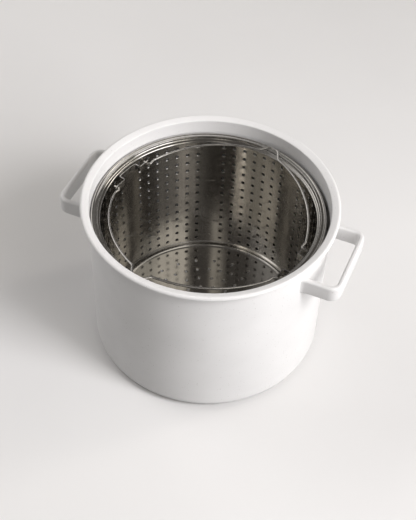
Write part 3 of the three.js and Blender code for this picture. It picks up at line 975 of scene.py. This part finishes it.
def bail_run():
    """The wire's middle line in its own plane: X along the hinge, Y away from it."""
    offset = PIN_SPREAD / 2
    pin = Vector((PIN_END, 0, 0))
    hook = Vector((HOOK_PLACE, 0, 0))
    start = Vector((HOOK_PLACE, HOOK_RISE, 0))
    foot = Vector((BUMP_FOOT / 2, math.sqrt(FOOT_RADIUS ** 2 - (BUMP_FOOT / 2) ** 2) - offset, 0))
    bump = Vector((BUMP_TOP / 2, BUMP_PLACE - offset, 0))
    middle = Vector((0, BUMP_PLACE - offset, 0))
    run = bowed_run(start, foot, RUN_BOW, RUN_STEPS)
    hooked = rounded_run([pin, hook, start, run[RUN_JOIN]], HOOK_ROUND, TURN_STEPS)[:-1]
    bumped = rounded_run([run[-RUN_JOIN - 1], foot, bump, middle], BUMP_ROUND, TURN_STEPS)[1:-1]
    half = hooked + run[RUN_JOIN:-RUN_JOIN] + bumped
    return half + [Vector((-point.x, point.y, 0)) for point in reversed(half)]


def tipped(run, sizes):
    """A wire's run and sizes, with its last end rounded off."""
    along = (run[-1] - run[-2]).normalized()
    tip = [run[-1] + along * WIRE_RADIUS * place for place in TIP_PLACES]
    return run[:-1] + tip, sizes[:-1] + [WIRE_RADIUS * share for share in TIP_SIZES]


def bail_tube():
    """The wire as a round tube along its run, both ends rounded off."""
    run = bail_run()
    sizes = [WIRE_RADIUS] * len(run)
    for _ in range(2):
        run, sizes = tipped(run[::-1], sizes[::-1])
    rings = []
    for place, right, size in zip(run, strap_directions(run), sizes):
        ring = []
        for a in even_angles(WIRE_SIDES):
            ring.append(place + right * size * math.cos(a) + Vector((0, 0, size * math.sin(a))))
        rings.append(ring)
    return skinned(rings)


wire_finish = worked_steel("wire_steel", WIRE_STEEL, WIRE_DRAWN, WIRE_ROUGHNESS, WIRE_LINES)
hinges = {joint["name"]: joint for joint in frame["joints"]}
upright = Vector((0, 0, 1))
neck_edge = math.sqrt((BASKET_RADIUS + BAIL_REST) ** 2 - (BUMP_FOOT / 2) ** 2) - PIN_SPREAD / 2
wire_rest = FLANGE_TOP + REST_GAP + WIRE_RADIUS
for name, node, body, joint in (
    ("bail_back_wire", "bail_back", "back_bail", hinges["bail_back_swing"]),
    ("bail_front_wire", "bail_front", "front_bail", hinges["bail_front_swing"]),
):
    hinge = Vector(joint["axis"])
    away = upright.cross(hinge)
    pins = Vector(joint["pos_m"])
    tilt = math.atan2(wire_rest - pins.z / MM, neck_edge)
    facing = Matrix((hinge, away, upright)).transposed().to_4x4()
    wire = bail_tube()
    wire.transform(Matrix.Translation(pins) @ facing @ Matrix.Rotation(tilt, 4, "X"))
    bail = made_piece(name, wire, WIRE_CREASE, wire_finish)
    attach(bail, body)
    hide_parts(node)

# Studio
# A wide pale floor under three soft lamps: a low one on the right of the camera, as from a tall window, one
# above it, and a wide one at the far left. The steel mirrors the glows of the room, and not the lamps.
FLOOR_REACH = 12.0
FLOOR_SEGMENTS = 8
FLOOR_CREASE = 30
FLOOR_TONE = (0.80, 0.795, 0.79, 1.0)
FLOOR_SHADE = (0.76, 0.755, 0.75, 1.0)
FLOOR_BOUNCE = (0.20, 0.20, 0.20, 1.0)
FLOOR_ROUGHNESS = 0.6
FLOOR_SCALE = 3.0
VIEW_AZIMUTH = math.radians(21.8)
LAMP_AIM = Vector((0.0, 0.0, 0.10))
LAMP_COLOUR = (1.0, 0.985, 1.0)
# Lamps: name, side in degrees, then distance, height and width in metres, and power in watts.
LAMPS = (
    ("window_lamp", -34, 1.6, 0.68, 0.8, 10.5),
    ("high_lamp", -34, 1.25, 1.3, 0.5, 15.0),
    ("far_lamp", 158, 1.4, 1.15, 1.2, 8.5),
)
# Glows: side in degrees, the angle within which they are full, the angle past which they end, and colour.
FAR_GLOW = (158, 28, 64, (0.42, 0.41, 0.40, 1.0))
MIDDLE_GLOW = (144, 10, 18, (1.05, 1.01, 0.97, 1.0))
WINDOW_GLOW = (-20, 36, 42, (0.58, 0.555, 0.50, 1.0))
BRIGHT_GLOW = (-46, 17, 24, (0.95, 0.90, 0.81, 1.0))
EDGE_GLOW = (22, 3, 6, (3.6, 3.4, 3.1, 1.0))
FRONT_GLOW = (-101, 5, 9, (0.50, 0.47, 0.42, 1.0))
PANE_GLOW = (-34, 16, 20, (3.4, 3.35, 3.4, 1.0))
PANE_FOOT = (0.12, 0.18)
PANE_HEAD = (0.54, 0.62)
GLOW_HEAD = (0.80, 0.95)
ROOM_DARK = (0.095, 0.088, 0.082, 1.0)
ROOM_LOW = (0.42, 0.415, 0.41, 1.0)
LOW_HEAD = (0.10, 0.35)


def studio_floor():
    """A floor that looks pale but throws little light back on the pot."""
    material, tree, shader, place = new_finish("studio_floor")
    tone = spread(tree, noise(tree, place, FLOOR_SCALE, detail=3.0), *MIDDLE_RANGE)
    path = add_node(tree, "ShaderNodeLightPath").outputs
    mirrored = calculated(tree, "MAXIMUM", path["Is Glossy Ray"], path["Is Transmission Ray"])
    in_view = calculated(tree, "MAXIMUM", path["Is Camera Ray"], mirrored)
    seen = blended(tree, tone, FLOOR_TONE, FLOOR_SHADE)
    tree.links.new(blended(tree, in_view, FLOOR_BOUNCE, seen), shader.inputs["Base Color"])
    shader.inputs["Roughness"].default_value = FLOOR_ROUGHNESS
    bm = bmesh.new()
    bmesh.ops.create_grid(bm, x_segments=FLOOR_SEGMENTS, y_segments=FLOOR_SEGMENTS, size=FLOOR_REACH)
    return made_piece("studio_floor", bm, FLOOR_CREASE, material)


def from_camera(side):
    """A level direction, in degrees from the camera's right hand round to what lies behind the pot."""
    turn = math.radians(side) + VIEW_AZIMUTH
    return Vector((math.cos(turn), math.sin(turn), 0))


def studio_lamp(name, side, distance, height, width, power):
    """A soft square lamp, placed round the pot, aimed at it and not seen in the steel."""
    data = bpy.data.lights.new(name, "AREA")
    data.shape = "SQUARE"
    data.size = width
    data.energy = power
    data.color = LAMP_COLOUR
    lamp = bpy.data.objects.new(name, data)
    lamp.location = from_camera(side) * distance + Vector((0, 0, height))
    lamp.rotation_euler = (LAMP_AIM - lamp.location).to_track_quat("-Z", "Y").to_euler()
    lamp.visible_glossy = False
    bpy.context.scene.collection.objects.link(lamp)


def glow_toward(tree, level, side, narrow, wide):
    """How much of a glow a level direction sees, full within the narrow angle and none past the wide one."""
    facing = vector_math(tree, "DOT_PRODUCT", level, from_camera(side)).outputs["Value"]
    return spread(tree, facing, math.cos(math.radians(wide)), math.cos(math.radians(narrow)))


def studio_surroundings():
    """A dark room with upright glows, pale near the floor, and a bright window pane over all."""
    world = bpy.data.worlds.new("studio_surroundings")
    world.use_nodes = True
    tree = world.node_tree
    direction = add_node(tree, "ShaderNodeTexCoord").outputs["Generated"]
    height = add_node(tree, "ShaderNodeSeparateXYZ", {0: direction}).outputs["Z"]
    level = level_direction(tree, direction)
    below_top = spread(tree, height, *GLOW_HEAD, 1.0, 0.0)
    colour = ROOM_DARK
    for *zone, glow in (FAR_GLOW, MIDDLE_GLOW, WINDOW_GLOW, BRIGHT_GLOW, EDGE_GLOW, FRONT_GLOW):
        share = calculated(tree, "MULTIPLY", glow_toward(tree, level, *zone), below_top)
        colour = blended(tree, share, colour, glow)
    colour = blended(tree, spread(tree, height, *LOW_HEAD, 1.0, 0.0), colour, ROOM_LOW)
    *zone, glow = PANE_GLOW
    below_head = spread(tree, height, *PANE_HEAD, 1.0, 0.0)
    upright = calculated(tree, "MULTIPLY", spread(tree, height, *PANE_FOOT), below_head)
    pane = calculated(tree, "MULTIPLY", glow_toward(tree, level, *zone), upright)
    tree.links.new(blended(tree, pane, colour, glow), tree.nodes["Background"].inputs["Color"])
    tree.nodes["Background"].inputs["Strength"].default_value = 1.0
    bpy.context.scene.world = world


studio_floor()
for lamp_sizes in LAMPS:
    studio_lamp(*lamp_sizes)
studio_surroundings()
bpy.context.scene.view_settings.view_transform = "Standard"

# Camera
# It looks down into the pot from in front, with the handles turned a little clockwise.
CAMERA_PLACE = Vector((0.2526, -0.6326, 0.8435))
CAMERA_AIM = Vector((-0.00033, -0.00013, 0.08858))
CAMERA_ROLL = math.radians(2.05)
CAMERA_LENS = 72.0
CAMERA_SENSOR = 36.0
camera_data = bpy.data.cameras.new("photo_camera")
camera_data.lens = CAMERA_LENS
camera_data.sensor_width = CAMERA_SENSOR
camera = bpy.data.objects.new("photo_camera", camera_data)
camera.location = CAMERA_PLACE
sight = (CAMERA_AIM - CAMERA_PLACE).to_track_quat("-Z", "Y").to_matrix()
camera.rotation_euler = (sight @ Matrix.Rotation(CAMERA_ROLL, 3, "Z")).to_euler()
bpy.context.scene.collection.objects.link(camera)
bpy.context.scene.camera = camera
